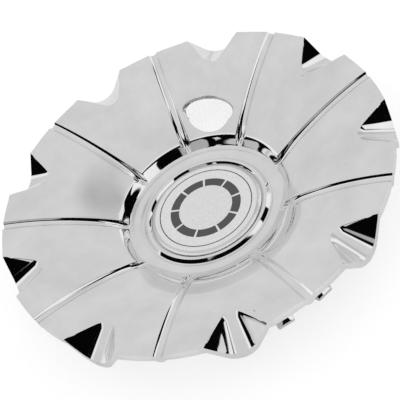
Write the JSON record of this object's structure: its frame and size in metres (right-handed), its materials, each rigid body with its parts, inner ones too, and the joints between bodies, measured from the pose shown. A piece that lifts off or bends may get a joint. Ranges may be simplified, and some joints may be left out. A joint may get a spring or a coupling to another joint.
{
  "type": "wheel center cap",
  "caption": "Round chrome plated wheel center cap: a dished face of panels with sunken channels between, scoops around the rim, an oval access hole, a hub medallion and snap legs behind.",
  "frame": {"origin": "centre of the flat underside of the hub", "axes": "+Z is the cap's axis, out of the face that shows on the wheel; +Y points from the hub to the access hole"},
  "size_m": [0.22, 0.22, 0.0327],
  "materials": {
    "chrome_plating": "mirror polished chrome plating on moulded plastic",
    "medallion_face": "silver and grey print under a clear satin coat"
  },
  "bodies": {
    "root": {"cap_shell": "chrome_plating", "medallion": "medallion_face"}
  },
  "joints": []
}
